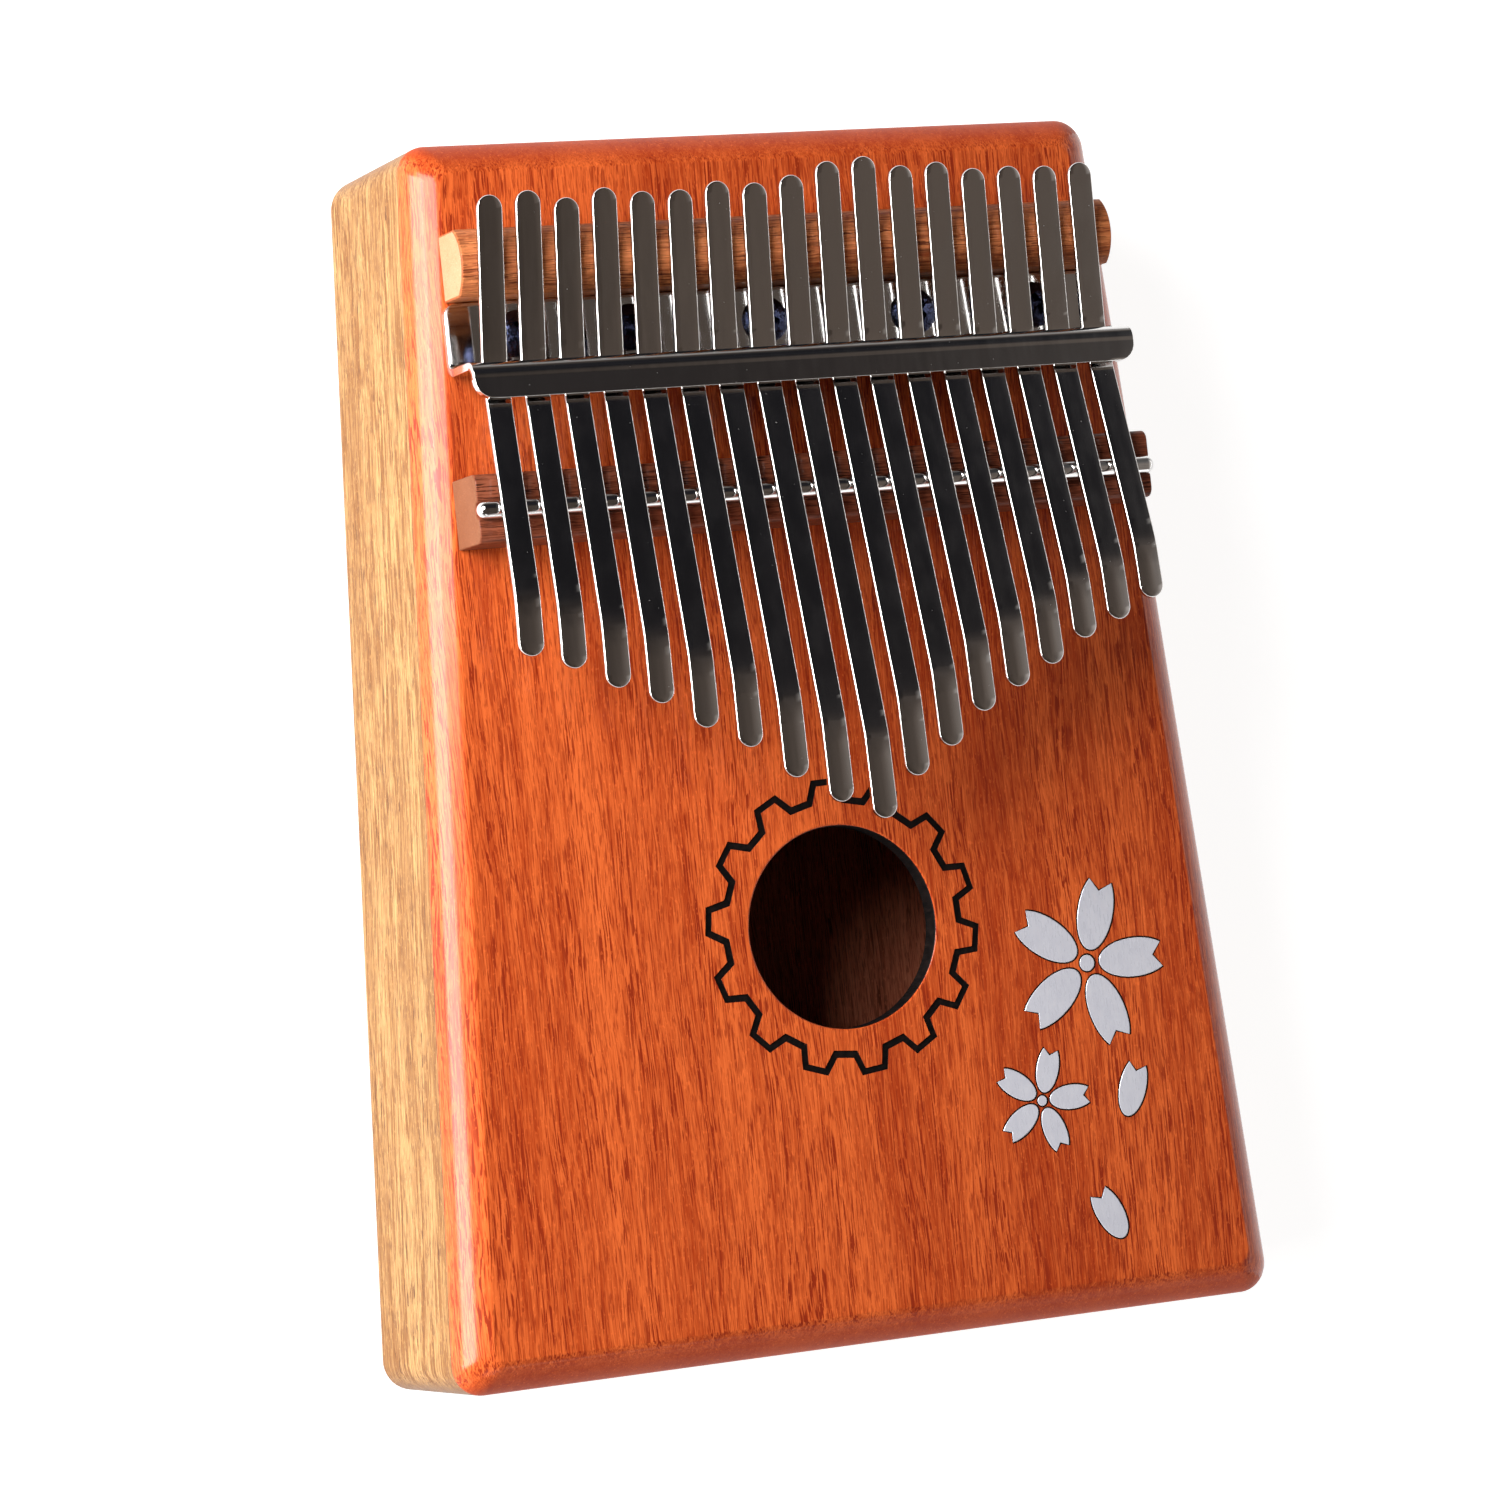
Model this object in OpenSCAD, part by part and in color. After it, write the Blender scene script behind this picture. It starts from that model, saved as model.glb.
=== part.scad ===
// Box kalimba (mbira) with seventeen spring-steel tines, lying on its back.
// Origin: middle of the back board's outer face. +X right, +Y to the tuning ends, +Z out of the face.

/* [Body] */
// Length of the body along the tines
body_length = 185; // [175:1:200]
// Width at the tuning end
rear_width = 113.5; // [112:0.5:122]
// Width at the player's end
front_width = 136; // [128:0.5:145]
// Depth from the back to the face
body_depth = 39.3; // [34:0.1:48]
// Thickness of the soundboard
face_thickness = 5.2; // [4.6:0.1:6]
// Thickness of the back board
back_thickness = 4.2; // [3.5:0.1:5]
// Thickness of the side and end boards
wall_thickness = 7; // [6:0.5:9]
// Radius of the four upright corners
corner_radius = 4.5; // [3:0.1:5]

/* [Sound hole] */
// Radius of the sound hole
hole_radius = 15.3; // [12:0.1:17]
// Place of the sound hole along the body
hole_y = -29.5; // [-34:0.5:-26]
// Teeth in the burnt gear outline
gear_teeth = 14; // [10:1:16]
// Radius of the outline between the teeth
gear_root_radius = 19.3; // [19:0.1:20]
// Radius of the outline at the teeth
gear_tip_radius = 22.1; // [21.5:0.1:23]
// Width of the burnt line
gear_line_width = 0.9; // [0.6:0.1:1.2]
// Depth of the burnt line
gear_line_depth = 0.25; // [0.2:0.05:0.5]

/* [Tines] */
// Width of a tine
tine_width = 4; // [3.6:0.1:4.2]
// Thickness of a tine
tine_thickness = 1; // [0.8:0.1:1.1]
// Distance between tines where they cross the saddle rod
tine_pitch = 6.27; // [6.2:0.01:6.35]
// Angle that each tine fans out from the one before it, in degrees
fan_step = 0.265; // [0:0.005:0.3]
// Middle tine's offset from the body's centre line
tine_centre_x = -0.4; // [-1:0.1:1]
// Playing length of the longest tine, from the rod to its tip
longest_playing_length = 50.6; // [46:0.1:52]
// Length that the bent tip takes off every tine
end_correction = 3.1; // [2:0.1:4]
// Height of the tines' underside above the face, at the bracket
press_height = 7.2; // [7:0.05:7.4]
// Rise of the playing part per millimetre
play_slope = 0.213; // [0.19:0.001:0.23]
// Rise of the tuning part per millimetre
rear_slope = 0.105; // [0.09:0.001:0.11]
// Rise of the flattened tip per millimetre
tip_slope = 0.03; // [0:0.01:0.06]

/* [Bridges and saddle rod] */
// Place of the rear bridge along the body
rear_bridge_y = 73.2; // [73.1:0.1:73.6]
// Width of the rear bridge across its D-shaped section
rear_bridge_width = 10; // [9:0.1:10]
// Length of the rear bridge
rear_bridge_length = 107; // [104:0.5:108]
// Place of the front bridge along the body
front_bridge_y = 36.6; // [36.4:0.1:37]
// Width of the front bridge
front_bridge_width = 10.3; // [9:0.1:11]
// Height of the front bridge
front_bridge_height = 9.6; // [9:0.1:9.8]
// Length of the front bridge
front_bridge_length = 110.6; // [108:0.2:111]
// Place of the saddle rod along the body
rod_y = 36.3; // [36:0.1:36.8]
// Radius of the saddle rod
rod_radius = 1.4; // [1.3:0.05:1.6]
// Length of the saddle rod with its round ends
rod_length = 111.2; // [110:0.2:112]

/* [Pressure bracket] */
// Length of the bracket across the tines
bracket_length = 108.4; // [107:0.2:109]
// Thickness of the bracket's sheet steel
sheet = 1.2; // [1:0.1:1.2]
// Place of the slotted riser's front face along the body
riser_y = 57; // [56.9:0.05:57.1]
// Height of the lip's top above the face
lip_height = 11.3; // [11.2:0.1:12]
// Radius of a screw's head
screw_head_radius = 3.5; // [3:0.1:3.6]

/* [Inlays] */
// Depth of the shell inlays
inlay_depth = 0.9; // [0.5:0.1:1.5]
// Width of the dark glue line around an inlay
glue_line = 0.15; // [0.1:0.01:0.2]

/* [Hidden] */
$fn = 64;
face_z = body_depth;
board_z = body_depth - face_thickness;
half_length = body_length / 2;
taper_per_mm = (front_width - rear_width) / 2 / body_length;
edge_land = 0.2;
seam = 0.02;
clear = 0.1;

// Semitones that each tine sounds above the longest one, from left to right.
semitones = [26, 23, 19, 16, 12, 9, 5, 2, 0, 4, 7, 11, 14, 17, 21, 24, 28];
// How far each tuning end stands out behind the rear bridge's middle, as tapped in by hand.
tuning_overhang = [9.3, 9.7, 8.4, 9.6, 8.8, 8.8, 9.8, 9.3, 10.2, 12, 12.5, 10.9, 11.2, 10, 10.1, 9.9, 10.2];
tine_count = len(semitones);
middle_tine = (tine_count - 1) / 2;
press_y = riser_y - 0.5;
press_bend = 1.2;
tip_bend = 2;

bracket_rear_y = 68;
lip_front_y = 52.4;
slot_bottom = 4;
slot_top = 9.3;
slot_side_room = 0.35;
screw_x = [-43, -25, -2.8, 22, 42.5];
screw_y = 63;
screw_shank_radius = 1.4;
screw_length = 13.5;
screw_head_height = 2.1;
brace_y = 63;
brace_width = 16;
brace_depth = 12;

petal_half_length = 6.1;
petal_half_width = 2.98;
petal_centre = 8.2;
petal_notch = 11.35;
petal_tip_angle = 39.6;
flower_petals = 5;
flower_turn = 1;
flower_disc_radius = 1.25;
big_flower = [40.2, -38.9];
small_flower = [30.1, -59.1];
small_flower_scale = 0.62;
loose_petal_scale = 0.76;
loose_petals = [[44.2, -62.9, 70], [41.6, -81.3, 117]];

face_red = [0.76, 0.34, 0.15];
side_tan = [0.9, 0.62, 0.36];
raw_wood = [0.8, 0.5, 0.3];
steel = [0.55, 0.53, 0.52];
shell_white = [0.86, 0.88, 0.9];

function tine_name(n) = str("tine_", n < 10 ? "0" : "", n);
tine_names = [for (n = [1:tine_count]) tine_name(n)];

// ---- Body outline --------------------------------------------------------------------------

function half_width(y) = (rear_width + front_width) / 4 - taper_per_mm * y;
body_corners = [
    [half_width(half_length), half_length],
    [-half_width(half_length), half_length],
    [-half_width(-half_length), -half_length],
    [half_width(-half_length), -half_length]];

// Rounds the upper edge from p to q off a solid that lies to the left of p-q and below z = 0.
module edge_cutter(p, q, radius) {
    run = q - p;
    over = 10;
    translate([p.x, p.y, 0]) rotate(atan2(run.y, run.x)) translate([-over, 0, 0])
        difference() {
            translate([0, -over, -radius]) cube([norm(run) + 2 * over, radius + over, radius + over]);
            translate([-1, radius, -radius]) rotate([0, 90, 0])
                cylinder(r = radius, h = norm(run) + 2 * over + 2);
        }
}

// Rounds the upright corner at p, whose neighbours along the outline are a and b.
module corner_cutter(p, a, b, radius, low, high) {
    u = (a - p) / norm(a - p);
    v = (b - p) / norm(b - p);
    angle = acos(u * v);
    middle = p + (u + v) * radius / sin(angle);
    start = p + u * radius / tan(angle / 2);
    stop = p + v * radius / tan(angle / 2);
    translate([0, 0, low]) difference() {
        linear_extrude(high - low) polygon([
            middle, start, start + (start - middle), p - 3 * (u + v), stop + (stop - middle), stop]);
        translate([middle.x, middle.y, -1]) cylinder(r = radius, h = high - low + 2);
    }
}

module outline_prism(low, high) {
    difference() {
        translate([0, 0, low]) linear_extrude(high - low) polygon(body_corners);
        for (i = [0:3])
            corner_cutter(body_corners[i], body_corners[(i + 3) % 4], body_corners[(i + 1) % 4],
                          corner_radius, low - 1, high + 1);
    }
}

module round_outline_edges(radius) {
    for (i = [0:3]) edge_cutter(body_corners[i], body_corners[(i + 1) % 4], radius);
}

// ---- Sound hole, gear line and inlay shapes --------------------------------------------------

// Angle of the middle of gap k between two teeth; the outline is drawn a little uneven.
function gap_angle(k) = 4.4 + 360 / gear_teeth * k - 3.2 * cos(360 / gear_teeth * k - 56);
function polar(r, a) = [r * cos(a), r * sin(a)];

// Outline of the gear, grown outwards by g.
function gear_points(g) = [
    for (k = [0:gear_teeth - 1])
        let (gap = gap_angle(k), tooth = (gap + gap_angle(k + 1)) / 2,
             gap_half = 4.9 - 0.65 * g / gear_root_radius * 180 / PI,
             tooth_half = 4.5 + 0.65 * g / gear_tip_radius * 180 / PI)
        each [polar(gear_root_radius + g, gap - gap_half), polar(gear_root_radius + g, gap + gap_half),
              polar(gear_tip_radius + g, tooth - tooth_half), polar(gear_tip_radius + g, tooth + tooth_half)]];

module gear_line() {
    linear_extrude(gear_line_depth + 1) difference() {
        polygon(gear_points(gear_line_width / 2));
        polygon(gear_points(-gear_line_width / 2));
    }
}

// One petal along +X, with its flower's centre at the origin, grown by g.
module petal(g) {
    steps = 20;
    sweep = 360 - 2 * petal_tip_angle;
    polygon([
        for (i = [0:steps]) let (a = petal_tip_angle + sweep * i / steps)
            [petal_centre + (petal_half_length + g) * cos(a), (petal_half_width + g) * sin(a)],
        [petal_notch + g, 0]]);
}

module flower(size, g) {
    for (k = [0:flower_petals - 1]) rotate(flower_turn + 360 / flower_petals * k) scale(size) petal(g / size);
    circle(r = flower_disc_radius * size + g);
}

module big_flower_shape(g) {
    translate(big_flower) flower(1, g);
}

module small_flower_shape(g) {
    translate(small_flower) flower(small_flower_scale, g);
}

module loose_petal_shapes(g) {
    for (p = loose_petals) translate([p.x, p.y]) rotate(p.z) scale(loose_petal_scale)
        translate([petal_half_length - petal_centre, 0]) petal(g / loose_petal_scale);
}

// ---- Body boards -----------------------------------------------------------------------------

module soundboard() {
    color(face_red) difference() {
        outline_prism(board_z, face_z);
        translate([0, 0, face_z]) round_outline_edges(face_thickness - edge_land);
        translate([0, hole_y, board_z - 1]) cylinder(r = hole_radius, h = face_thickness + 2, $fn = 96);
        translate([0, hole_y, face_z - gear_line_depth]) gear_line();
        translate([0, 0, face_z - inlay_depth]) linear_extrude(inlay_depth + 1) {
            big_flower_shape(glue_line);
            small_flower_shape(glue_line);
            loose_petal_shapes(glue_line);
        }
        screw_holes(screw_shank_radius + seam, face_thickness + 1);
    }
}

module back_board() {
    color(side_tan) difference() {
        outline_prism(0, back_thickness);
        mirror([0, 0, 1]) round_outline_edges(back_thickness - edge_land);
    }
}

// A side board, full length; side is -1 for the left one and 1 for the right one.
module side_board(side) {
    wall = wall_thickness;
    color(side_tan) intersection() {
        outline_prism(back_thickness, board_z);
        translate([0, 0, back_thickness]) linear_extrude(board_z - back_thickness) polygon([
            [side * (half_width(half_length) - wall), half_length + 1],
            [side * (half_width(half_length) + wall), half_length + 1],
            [side * (half_width(-half_length) + wall), -half_length - 1],
            [side * (half_width(-half_length) - wall), -half_length - 1]]);
    }
}

// Space between the two side boards, cut to a band from low_y to high_y.
module between_sides(low_y, high_y, low_z, high_z) {
    inner_rear = half_width(half_length) - wall_thickness;
    inner_front = half_width(-half_length) - wall_thickness;
    slope = (inner_front - inner_rear) / (body_length + 2);
    function inner(y) = inner_rear + slope * (half_length + 1 - y);
    translate([0, 0, low_z]) linear_extrude(high_z - low_z) polygon([
        [-inner(high_y), high_y], [inner(high_y), high_y], [inner(low_y), low_y], [-inner(low_y), low_y]]);
}

module left_side() {
    side_board(-1);
}

module right_side() {
    side_board(1);
}

module head_board() {
    color(side_tan) between_sides(half_length - wall_thickness, half_length, back_thickness, board_z);
}

module tail_board() {
    color(side_tan) between_sides(-half_length, -half_length + wall_thickness, back_thickness, board_z);
}

module cross_brace() {
    color(raw_wood) difference() {
        between_sides(brace_y - brace_width / 2, brace_y + brace_width / 2, board_z - brace_depth, board_z);
        screw_holes(screw_shank_radius + seam, screw_length + 0.5);
    }
}

// ---- Bridges and saddle rod ------------------------------------------------------------------

// A block across the face, with the section that its child draws in (y, height).
module across(length) {
    translate([-length / 2, 0, face_z]) rotate([90, 0, 90]) linear_extrude(length) children();
}

module rear_bridge() {
    height = tine_underside(rear_bridge_y, -100) - clear;
    crown_radius = 6.1;
    color(raw_wood) across(rear_bridge_length) intersection() {
        translate([rear_bridge_y - rear_bridge_width / 2, 0]) square([rear_bridge_width, height]);
        translate([rear_bridge_y, height - crown_radius]) circle(r = crown_radius);
    }
    color(raw_wood) across(rear_bridge_length)
        translate([rear_bridge_y - rear_bridge_width / 2, 0]) square([rear_bridge_width, height / 2]);
}

module front_bridge() {
    edge = 1.5;
    low_y = front_bridge_y - front_bridge_width / 2;
    color(raw_wood) difference() {
        across(front_bridge_length) difference() {
            translate([low_y, 0]) square([front_bridge_width, front_bridge_height]);
            for (side = [0, 1]) translate([low_y + side * front_bridge_width, front_bridge_height])
                mirror([side, 0]) difference() {
                    translate([-1, -edge]) square(edge + 1);
                    translate([edge, -edge]) circle(r = edge);
                }
        }
        translate([0, rod_y, rod_z]) rotate([0, 90, 0])
            cylinder(r = rod_radius + seam, h = front_bridge_length + 2, center = true);
    }
}

rod_z = face_z + tine_underside(rod_y, -100) - (rod_radius + clear) * sqrt(1 + pow(play_slope, 2));

module saddle_rod() {
    straight = rod_length - 2 * rod_radius;
    color(steel) translate([0, rod_y, rod_z]) rotate([0, 90, 0]) {
        cylinder(r = rod_radius, h = straight, center = true);
        for (end = [-1, 1]) translate([0, 0, end * straight / 2]) sphere(r = rod_radius);
    }
}

// ---- Pressure bracket ------------------------------------------------------------------------

// Section of the folded sheet in (y, height): base plate, slotted riser and forward lip.
module bracket_section() {
    rear = riser_y + sheet;
    polygon([
        [bracket_rear_y, 0], [bracket_rear_y, sheet], [rear + 0.9, sheet], [rear, sheet + 0.9],
        [rear, lip_height - 2.2], [rear - 0.5, lip_height - 1.2], [rear - 1.6, lip_height - 0.1],
        [rear - 2.2, lip_height], [lip_front_y + 0.3, lip_height], [lip_front_y, lip_height - 0.3],
        [lip_front_y, lip_height - sheet], [rear - 2.3, lip_height - sheet],
        [riser_y, lip_height - 2.5], [riser_y, 0.6], [riser_y + 0.6, 0]]);
}

module pressure_bracket() {
    half = bracket_length / 2;
    base_corner = 2;
    lip_corner = 3;
    color(steel) difference() {
        across(bracket_length) bracket_section();
        for (i = [0:tine_count - 1]) {
            x = tine_x(i, riser_y);
            width = tine_width + 2 * slot_side_room;
            translate([x - width / 2, riser_y - 1, face_z + slot_bottom])
                cube([width, sheet + 2, slot_top - slot_bottom]);
        }
        for (side = [-1, 1]) {
            corner_cutter([side * half, bracket_rear_y], [0, bracket_rear_y], [side * half, 0],
                          base_corner, face_z - 1, face_z + 3);
            corner_cutter([side * half, lip_front_y], [0, lip_front_y], [side * half, 100],
                          lip_corner, face_z + lip_height - 4, face_z + lip_height + 1);
        }
        screw_holes(screw_shank_radius + 0.2, 1);
    }
}

module screw_holes(radius, depth) {
    for (x = screw_x) translate([x, screw_y, face_z - depth]) cylinder(r = radius, h = depth + 5);
}

module bracket_screw() {
    dome_radius = 5;
    cross = 3.6;
    cross_width = 0.8;
    translate([0, 0, sheet]) difference() {
        intersection() {
            cylinder(r = screw_head_radius, h = screw_head_height);
            translate([0, 0, screw_head_height - dome_radius]) sphere(r = dome_radius, $fn = 96);
        }
        for (turn = [0, 90]) rotate(turn)
            translate([-cross / 2, -cross_width / 2, screw_head_height - 1.1]) cube([cross, cross_width, 2]);
    }
    translate([0, 0, -screw_length + 3]) cylinder(r = screw_shank_radius, h = screw_length - 3 + sheet);
    translate([0, 0, -screw_length]) cylinder(r1 = 0.2, r2 = screw_shank_radius, h = 3);
}

module bracket_screws() {
    color("midnightblue") for (x = screw_x) translate([x, screw_y, face_z]) bracket_screw();
}

// ---- Tines -----------------------------------------------------------------------------------

// Smooth ramp: zero below 0, rising one for one above it, with a bend about e wide.
function ramp(t, e) = (t + sqrt(t * t + e * e)) / 2;

// Tip of tine i; a cantilever's pitch goes with one over its length squared.
function playing_length(i) =
    (longest_playing_length + end_correction) * pow(2, -semitones[i] / 24) - end_correction;
function tip_y(i) = rod_y - playing_length(i);
function flat_tip_length(i) = 6 + 0.13 * playing_length(i);

// Height of a tine's underside above the face at y, for a tine that flattens out at bend_y.
function tine_underside(y, bend_y) = press_height
    + rear_slope * ramp(y - press_y, press_bend)
    + play_slope * ramp(press_y - y, press_bend)
    - (play_slope - tip_slope) * ramp(bend_y - y, tip_bend);

function tine_turn(i) = (i - middle_tine) * fan_step;
function tine_x(i, y) =
    tine_centre_x + (i - middle_tine) * tine_pitch + (rod_y - y) * tan(tine_turn(i));

// One tine: a strip with round ends, bent at the bracket and flattened towards its tip.
module tine(i) {
    bend_y = tip_y(i) + flat_tip_length(i);
    rear_y = rear_bridge_y + tuning_overhang[i];
    stations = [
        tip_y(i) - 1,
        for (step = [-4:1:4]) bend_y + step * 1.2,
        for (step = [-3:1:3]) press_y + step * 0.9,
        rear_y + 1];
    under = [for (y = stations) [y - rod_y, tine_underside(y, bend_y)]];
    over = [for (k = [len(under) - 1:-1:0]) under[k] + [0, tine_thickness]];
    radius = tine_width / 2;
    color(steel) translate([tine_x(i, rod_y), rod_y, face_z]) rotate(tine_turn(i)) intersection() {
        rotate([90, 0, 90]) linear_extrude(tine_width + 2, center = true) polygon(concat(under, over));
        linear_extrude(40) {
            translate([-radius, tip_y(i) + radius - rod_y]) square([tine_width, rear_y - tip_y(i) - tine_width]);
            translate([0, tip_y(i) + radius - rod_y]) circle(r = radius);
            translate([0, rear_y - radius - rod_y]) circle(r = radius);
        }
    }
}

// ---- Inlays ----------------------------------------------------------------------------------

module inlay() {
    color(shell_white) translate([0, 0, face_z - inlay_depth]) linear_extrude(inlay_depth) children();
}

module big_flower_inlay() {
    inlay() big_flower_shape(0);
}

module small_flower_inlay() {
    inlay() small_flower_shape(0);
}

module loose_petal_inlays() {
    inlay() loose_petal_shapes(0);
}

soundboard();
back_board();
left_side();
right_side();
head_board();
tail_board();
cross_brace();
rear_bridge();
front_bridge();
saddle_rod();
pressure_bracket();
bracket_screws();
big_flower_inlay();
small_flower_inlay();
loose_petal_inlays();
for (i = [0:tine_count - 1]) tine(i);
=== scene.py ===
"""Looks for the seventeen-tine box kalimba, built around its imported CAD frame.

Mesh code works in millimetres in the row frame: the instrument lies on its back, +X to its right, +Y to the
tuning ends of the tines, +Z out of the face. Pieces are scaled to metres when they are finished.
"""

import math

import bmesh
import bpy
from mathutils import Matrix, Vector


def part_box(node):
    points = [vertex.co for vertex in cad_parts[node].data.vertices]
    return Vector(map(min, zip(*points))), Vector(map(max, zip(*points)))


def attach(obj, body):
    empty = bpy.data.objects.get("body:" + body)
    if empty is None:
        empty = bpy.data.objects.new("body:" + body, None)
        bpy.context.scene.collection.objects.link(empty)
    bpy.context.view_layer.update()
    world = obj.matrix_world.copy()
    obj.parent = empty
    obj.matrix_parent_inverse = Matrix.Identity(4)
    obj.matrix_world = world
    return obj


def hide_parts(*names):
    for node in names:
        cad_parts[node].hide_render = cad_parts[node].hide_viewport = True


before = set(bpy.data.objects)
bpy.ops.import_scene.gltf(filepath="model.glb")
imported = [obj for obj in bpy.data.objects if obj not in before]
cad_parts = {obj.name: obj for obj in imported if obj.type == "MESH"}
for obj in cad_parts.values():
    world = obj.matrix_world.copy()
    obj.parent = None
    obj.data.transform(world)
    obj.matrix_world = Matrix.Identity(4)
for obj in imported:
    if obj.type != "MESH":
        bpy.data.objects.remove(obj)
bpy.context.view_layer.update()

MM = 0.001
QUARTER = math.pi / 2
SQUARE = ((-1, -1), (1, -1), (1, 1), (-1, 1))

# ---- Driving dimensions, in millimetres --------------------------------------------------------


def box_mm(node):
    """Lowest and highest corners of a CAD node, in millimetres."""
    low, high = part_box(node)
    return low * 1000, high * 1000


BOARD_Z = box_mm("soundboard")[0].z
FACE_Z = box_mm("soundboard")[1].z
BACK_TOP_Z = box_mm("back_board")[1].z
HALF_LENGTH = box_mm("soundboard")[1].y

REAR_WIDTH = 113.5
FRONT_WIDTH = 136.0
CORNER_RADIUS = 4.5
EDGE_LAND = 0.2
EDGE_SHAPE = 1.45  # power of the edge curve: 1 is a quarter circle, 2 a straight chamfer
SEAM_BEVEL = 0.12
SAWN_END = 0.5  # how far a surface faces along the grain before it counts as a sawn end

HOLE_Y = -29.5
HOLE_RADIUS = 15.3
HOLE_RIM = 0.45
HOLE_WALL = 3.4  # height of the burnt wall; below it the hole widens
HOLE_RELIEF = 0.8
GEAR_TEETH = 14
GEAR_ROOT_RADIUS = 19.3
GEAR_TIP_RADIUS = 22.1
GEAR_LINE = 1.05
GEAR_DEPTH = 0.25

INLAY_DEPTH = 0.9
INLAY_EASE = 0.07
INLAY_RIM = 0.05
GLUE_LINE = 0.25
GLUE_DROP = 0.06
PETAL_HALF_LENGTH = 6.1
PETAL_HALF_WIDTH = 2.98
PETAL_CENTRE = 8.2
PETAL_NOTCH = 11.35
PETAL_TIP_ANGLE = math.radians(39.6)
FLOWER_PETALS = 5
FLOWER_TURN = math.radians(1)
FLOWER_DISC = 1.25
BIG_FLOWER = Vector((40.2, -38.9))
SMALL_FLOWER = Vector((30.1, -59.1))
SMALL_FLOWER_SCALE = 0.62
LOOSE_PETAL_SCALE = 0.76
LOOSE_PETALS = [
    (Vector((44.2, -62.9)), math.radians(70)),
    (Vector((41.6, -81.3)), math.radians(117)),
]

TINE_COUNT = 17
MIDDLE_TINE = (TINE_COUNT - 1) / 2
TINE_HALF_WIDTH = 2.0
TINE_THICKNESS = 1.0
TINE_EDGE = 0.23
TINE_EDGE_DROP = 0.35
TINE_PITCH = 6.27
TINE_CENTRE_X = -0.4
FAN_STEP = math.radians(0.265)  # how much more each tine is turned than the one before
ROD_Y = 36.3
PRESS_Y = 56.5  # where the bracket presses the tines down
PRESS_HEIGHT = 7.2
PLAY_SLOPE = 0.213  # rise per millimetre from the bracket towards the tip
REAR_SLOPE = 0.105  # rise per millimetre from the bracket towards the tuning end
TIP_SLOPE = 0.03  # rise per millimetre along the flattened tip
PRESS_BEND = 1.2
TIP_BEND = 1.2
TIP_CROWN = 0.07
TIP_FLAT = 6.0  # length of a flattened tip, to which a share of the tine's reach past the rod is added
TIP_FLAT_SHARE = 0.13
CROWN_FADE = 3.0

RISER_Y = 57.0
SHEET = 1.2
SLOT_WIDTH = 4.7
SLOT_BOTTOM = 4.0
SLOT_TOP = 9.3
SCREW_X = [-43, -25, -2.8, 22, 42.5]
SCREW_Y = 63.0
SCREW_HEAD_RADIUS = 3.5
SCREW_HEAD_HEIGHT = 2.1
SCREW_DOME_RADIUS = 5.0


# ---- Mesh helpers ------------------------------------------------------------------------------


def ring(bm, points, z):
    """Vertices of a closed loop of (x, y) points at height z."""
    return [bm.verts.new((p[0], p[1], z)) for p in points]


def band(bm, lower, upper, slot=0):
    """Quads between two rings that have as many points."""
    count = len(lower)
    for k in range(count):
        after = (k + 1) % count
        face = bm.faces.new((lower[k], lower[after], upper[after], upper[k]))
        face.material_index = slot


def lid(bm, rings, slot=0, up=True):
    """Flat fill inside the first ring and outside the others."""
    edges = []
    for loop in rings:
        for k, vert in enumerate(loop):
            after = loop[(k + 1) % len(loop)]
            edges.append(bm.edges.get((vert, after)) or bm.edges.new((vert, after)))
    normal = Vector((0, 0, 1 if up else -1))
    filled = bmesh.ops.triangle_fill(bm, use_beauty=True, use_dissolve=False, edges=edges, normal=normal)
    for item in filled["geom"]:
        if isinstance(item, bmesh.types.BMFace):
            item.material_index = slot
            item.normal_update()
            if item.normal.z * normal.z < 0:
                item.normal_flip()


def mesh_in_metres(bm, name):
    """Mesh data made from a bmesh in millimetres, which is used up."""
    bmesh.ops.scale(bm, vec=(MM, MM, MM), verts=bm.verts)
    mesh = bpy.data.meshes.new(name)
    bm.to_mesh(mesh)
    bm.free()
    return mesh


def finish_piece(name, bm, materials, node, body="body", smooth_angle=None):
    """Turns a mesh in millimetres into a piece that rides a body and stands for a CAD node."""
    mesh = mesh_in_metres(bm, name)
    for material in materials:
        mesh.materials.append(material)
    for polygon in mesh.polygons:
        polygon.use_smooth = True
    if smooth_angle is not None:
        mesh.set_sharp_from_angle(angle=math.radians(smooth_angle))
    piece = bpy.data.objects.new(name, mesh)
    bpy.context.scene.collection.objects.link(piece)
    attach(piece, body)
    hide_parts(node)
    return piece


def ease_edges(piece, name, width, segments, profile=0.5):
    """Rounds a piece's sharp edges; profile is 0.5 for a round, and less for a flatter edge."""
    bevel = piece.modifiers.new(name, "BEVEL")
    bevel.width = width * MM
    bevel.segments = segments
    bevel.profile = profile
    bevel.limit_method = "ANGLE"
    bevel.angle_limit = math.radians(50)


def weight_normals(piece):
    """Lets the large flat faces decide the shading, so that only the rounded edges bend the light."""
    modifier = piece.modifiers.new("even_shading", "WEIGHTED_NORMAL")
    modifier.keep_sharp = True
    modifier.weight = 100


# ---- Body outline and the shapes on the face ---------------------------------------------------


def half_width(y):
    """Half the width of the tapered body at y."""
    taper = (FRONT_WIDTH - REAR_WIDTH) / 2 / (2 * HALF_LENGTH)
    return (REAR_WIDTH + FRONT_WIDTH) / 4 - taper * y


def quarter_angles(steps):
    """Angles from 0 to a quarter turn, in equal steps."""
    return [QUARTER * step / steps for step in range(steps + 1)]


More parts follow.
